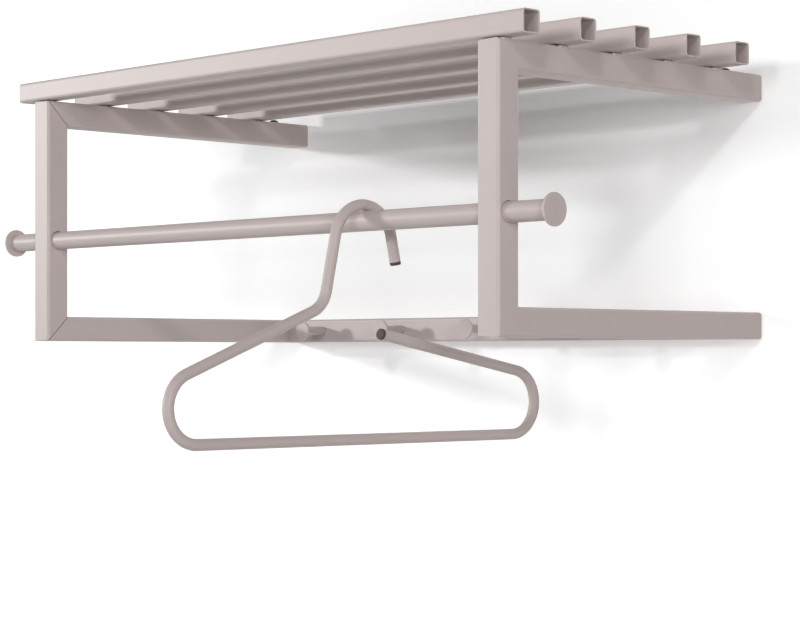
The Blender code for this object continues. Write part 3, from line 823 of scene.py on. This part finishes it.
# %% The two small finishes
ZINC_COOL = (0.50, 0.51, 0.54, 1)
ZINC_WARM = (0.66, 0.65, 0.62, 1)
PLASTIC_DARK = (0.060, 0.038, 0.034, 1)
PLASTIC_PALE = (0.120, 0.076, 0.068, 1)


def zinc_plate():
    """One noise moves the colour from cool to warm grey and the roughness from low to high."""
    material, surface, links, add = new_finish("cloudy_zinc_plate")
    place = add("ShaderNodeTexCoord").outputs["Object"]
    cloud = add("ShaderNodeTexNoise", {"Vector": place, "Scale": 420.0, "Detail": 4.0}).outputs["Fac"]
    tone = add("ShaderNodeMix", {"Factor": cloud, "A": ZINC_COOL, "B": ZINC_WARM}, data_type="RGBA")
    links.new(tone.outputs["Result"], surface.inputs["Base Color"])
    rough = add("ShaderNodeMapRange", {"Value": cloud, "To Min": 0.25, "To Max": 0.5})
    links.new(rough.outputs["Result"], surface.inputs["Roughness"])
    surface.inputs["Metallic"].default_value = 1.0
    return material


def dark_plastic():
    """One fine noise gives both the change of tone and the grain's bump."""
    material, surface, links, add = new_finish("dark_matt_plastic")
    place = add("ShaderNodeTexCoord").outputs["Object"]
    grain = add("ShaderNodeTexNoise", {"Vector": place, "Scale": 1800.0, "Detail": 2.0}).outputs["Fac"]
    tone = add("ShaderNodeMix", {"Factor": grain, "A": PLASTIC_DARK, "B": PLASTIC_PALE}, data_type="RGBA")
    links.new(tone.outputs["Result"], surface.inputs["Base Color"])
    bump = add("ShaderNodeBump", {"Height": grain, "Strength": 0.4, "Distance": 0.00008})
    links.new(bump.outputs["Normal"], surface.inputs["Normal"])
    surface.inputs["Roughness"].default_value = 0.6
    surface.inputs["Specular IOR Level"].default_value = 0.25
    return material


FINISHES = {"powder_coat": powder_coat(), "zinc_plate": zinc_plate(), "dark_plug": dark_plastic()}
for piece in pieces:
    piece.data.materials.clear()
    piece.data.materials.append(FINISHES[piece["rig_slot"]])
print("finishes:", sorted(FINISHES))

# %% [markdown]
# ## Wall and floor
# The rack is shown on a white wall. The wall is one sheet just behind it that only the camera sees, so that
# the light on the rack's back stays the same with or without it. Its rear side is clear, as the floor's
# underside is, so that the rack can be looked at from behind and from far below. It keeps the soft shadows.
# A little light of its own, for the camera alone, lifts the open wall to white, and it fades out towards the
# middle of the shelf, so that it doesn't wash out the shadow there. The fade paints shade on the wall round
# the shelf, on top of its real shadows. A pale floor lies well below and throws some light back up. It glows
# a little too, for the camera and for reflections, so that it stays pale far from the lamps.

# %% Sheets and what they have in common
WHITE = (1, 1, 1, 1)


def sheet(name, corners):
    """One face between four corners, which is part of the stage and not of the rack."""
    mesh = bpy.data.meshes.new(name)
    mesh.from_pydata(corners, [], [(0, 1, 2, 3)])
    stage_piece = bpy.data.objects.new(name, mesh)
    bpy.context.scene.collection.objects.link(stage_piece)
    stage_piece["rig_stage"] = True
    return stage_piece


def clear_rear(material, surface, links, add):
    """Show the surface from its front side, and leave it clear from its rear side."""
    behind = add("ShaderNodeNewGeometry").outputs["Backfacing"]
    clear = add("ShaderNodeBsdfTransparent").outputs[0]
    both = add("ShaderNodeMixShader", {"Fac": behind, 1: surface.outputs[0], 2: clear})
    links.new(both.outputs[0], material.node_tree.nodes["Material Output"].inputs["Surface"])


def seen_rays(add):
    """The largest of three marks: 1 for rays from the camera, a reflection or a clear solid, else 0."""
    ray = add("ShaderNodeLightPath").outputs
    seen = add("ShaderNodeMath", {0: ray["Is Camera Ray"], 1: ray["Is Glossy Ray"]}, operation="MAXIMUM")
    marks = {0: seen.outputs[0], 1: ray["Is Transmission Ray"]}
    return add("ShaderNodeMath", marks, operation="MAXIMUM").outputs[0]


# %% The wall
WALL_GAP = 1 * MM
WALL_X = 5
WALL_Z = 4
WALL_PAINT = (0.96, 0.965, 0.965, 1)
WALL_GLOW = 0.4
# How far the painted shade round the shelf reaches, across and up.
GLOW_WIDTH = 0.62
GLOW_HEIGHT = 0.32
GLOW_SCALE = (1 / GLOW_WIDTH, 0, 1 / GLOW_HEIGHT)
GLOW_SHIFT = (0, 0, 30 * MM / GLOW_HEIGHT)


def white_wall_with_painted_shade():
    """Matt paint whose glow, for the camera alone, rises with the distance from the shelf's middle.

    The distance is measured in glow widths and heights, and from 1 on the glow is full. Nearer the shelf
    the weaker glow paints shade on the wall.
    """
    material, surface, links, add = new_finish("white_wall_with_painted_shade")
    surface.inputs["Base Color"].default_value = WALL_PAINT
    surface.inputs["Roughness"].default_value = 0.9
    surface.inputs["Specular IOR Level"].default_value = 0.0
    surface.inputs["Emission Color"].default_value = WHITE
    place = add("ShaderNodeTexCoord").outputs["Object"]
    spread = add("ShaderNodeMapping", {"Vector": place, "Location": GLOW_SHIFT, "Scale": GLOW_SCALE})
    away = add("ShaderNodeVectorMath", {0: spread.outputs[0]}, operation="LENGTH").outputs["Value"]
    # The glow is weaker near the shelf's middle, which paints shade on the wall around it.
    glow_with_painted_shade = add("ShaderNodeMapRange", {"Value": away, "To Max": WALL_GLOW}).outputs["Result"]
    seen = add("ShaderNodeLightPath").outputs["Is Camera Ray"]
    glow = add("ShaderNodeMath", {0: seen, 1: glow_with_painted_shade}, operation="MULTIPLY")
    links.new(glow.outputs[0], surface.inputs["Emission Strength"])
    clear_rear(material, surface, links, add)
    return material


CORNERS = ((-1, -1), (1, -1), (1, 1), (-1, 1))
wall = sheet("wall", [(x * WALL_X, WALL_GAP, z * WALL_Z) for x, z in CORNERS])
wall.data.materials.append(white_wall_with_painted_shade())
wall.visible_diffuse = False
wall.visible_glossy = False
wall.visible_shadow = False
print("wall faces:", [round(x, 2) for x in wall.data.polygons[0].normal])

# %% The floor
FLOOR_Z = -1.3
FLOOR_REACH = 30
FLOOR_PAINT = (0.6, 0.6, 0.6, 1)
FLOOR_GLOW = 0.62


def pale_floor():
    """Matt grey paint, with an even glow for the rays that see it."""
    material, surface, links, add = new_finish("pale_floor")
    surface.inputs["Base Color"].default_value = FLOOR_PAINT
    surface.inputs["Roughness"].default_value = 0.9
    surface.inputs["Emission Color"].default_value = WHITE
    glow = add("ShaderNodeMath", {0: seen_rays(add), 1: FLOOR_GLOW}, operation="MULTIPLY")
    links.new(glow.outputs[0], surface.inputs["Emission Strength"])
    clear_rear(material, surface, links, add)
    return material


floor = sheet("floor", [(x * FLOOR_REACH, y * FLOOR_REACH, FLOOR_Z) for x, y in CORNERS])
floor.data.materials.append(pale_floor())
print("floor faces:", [round(x, 2) for x in floor.data.polygons[0].normal])

# %% [markdown]
# ## Light
# A softbox stands in front on the left, a little above the rack: it makes the front faces brightest on the
# left and throws each peg's shadow to the right. One in front throws the shelf's shadow on the wall right
# under it, and one on the right lights the arms' outer sides. One hangs high on the right and draws the
# slats' slanting shadows on the arms. A real white wall throws light back on the undersides and the rear of
# the arms. As this wall is there for the camera alone, a wide softbox behind it gives that light instead, a
# little warm, because such light has been from tube to tube as well. The sky fills the rest, dim for what
# it lights and white for what sees it.

# %% Softboxes
LIGHT_AIM = Vector((0.0, -0.18, -0.1))
WARM = (1.0, 0.915, 0.89)


def softbox(name, direction, distance, size, watts, colour=WHITE[:3]):
    """A square lamp at a distance from the aim in a direction, turned to face the aim."""
    data = bpy.data.lights.new(name, "AREA")
    data.size = size
    data.energy = watts
    data.color = colour
    lamp = bpy.data.objects.new(name, data)
    bpy.context.scene.collection.objects.link(lamp)
    towards = Vector(direction).normalized()
    lamp.location = LIGHT_AIM + distance * towards
    lamp.rotation_euler = towards.to_track_quat("Z", "Y").to_euler()
    print(name, "at", [round(x, 2) for x in lamp.location])


softbox("softbox_left", (-0.811, -0.568, 0.139), distance=5.0, size=0.4, watts=107)
softbox("softbox_front", (0.255, -0.953, 0.165), distance=4.0, size=0.9, watts=27)
softbox("softbox_right", (0.865, -0.499, 0.05), distance=4.0, size=0.8, watts=47)
softbox("softbox_high_right", (0.558, -0.714, 0.423), distance=4.0, size=0.28, watts=24)
softbox("softbox_wall", (0.0, 1.0, 0.0), distance=0.6, size=2.4, watts=8.0, colour=WARM)

# %% Sky
SKY_LIGHT = 0.055
SKY_SEEN = 1.0
world = bpy.data.worlds.new("sky")
bpy.context.scene.world = world
world.use_nodes = True
sky = world.node_tree
add_to_sky = node_adder(sky)
levels = {"Value": seen_rays(add_to_sky), "To Min": SKY_LIGHT, "To Max": SKY_SEEN}
level = add_to_sky("ShaderNodeMapRange", levels).outputs["Result"]
background = sky.nodes["Background"]
background.inputs["Color"].default_value = WHITE
sky.links.new(level, background.inputs["Strength"])
print("sky nodes:", len(sky.nodes))

# %% [markdown]
# ## Camera
# The camera stands to the right, level, a little below the frame's bottom arms, and looks across the rack at
# about 46 degrees. Its lens and place come from fitting the rack's straight edges. The horizon lies below
# the picture's middle, which a small vertical shift gives without tilting the uprights.

# %% Set it up
PICTURE_WIDTH, PICTURE_HEIGHT = 800, 637
FOCAL_PIXELS = 2248.97
HORIZON = 357.03
SENSOR_WIDTH = 36
CAMERA_PLACE = (1.59171, -1.68692, -0.24880)
CAMERA_TURN = 46.005
camera_data = bpy.data.cameras.new("camera")
camera_data.sensor_fit = "HORIZONTAL"
camera_data.sensor_width = SENSOR_WIDTH
camera_data.lens = FOCAL_PIXELS / PICTURE_WIDTH * SENSOR_WIDTH
camera_data.shift_y = (HORIZON - PICTURE_HEIGHT / 2) / PICTURE_WIDTH
camera = bpy.data.objects.new("camera", camera_data)
bpy.context.scene.collection.objects.link(camera)
camera.location = CAMERA_PLACE
camera.rotation_euler = (math.radians(90), 0, math.radians(CAMERA_TURN))
bpy.context.scene.camera = camera
bpy.context.scene.view_settings.view_transform = "Standard"
print("lens in mm:", round(camera_data.lens, 1))

# %% [markdown]
# ## The dressed rack's box
# The dressed rack has to fill the same box as its solids, so its box is measured.

# %% Measure the dressed rack's box
low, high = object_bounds()
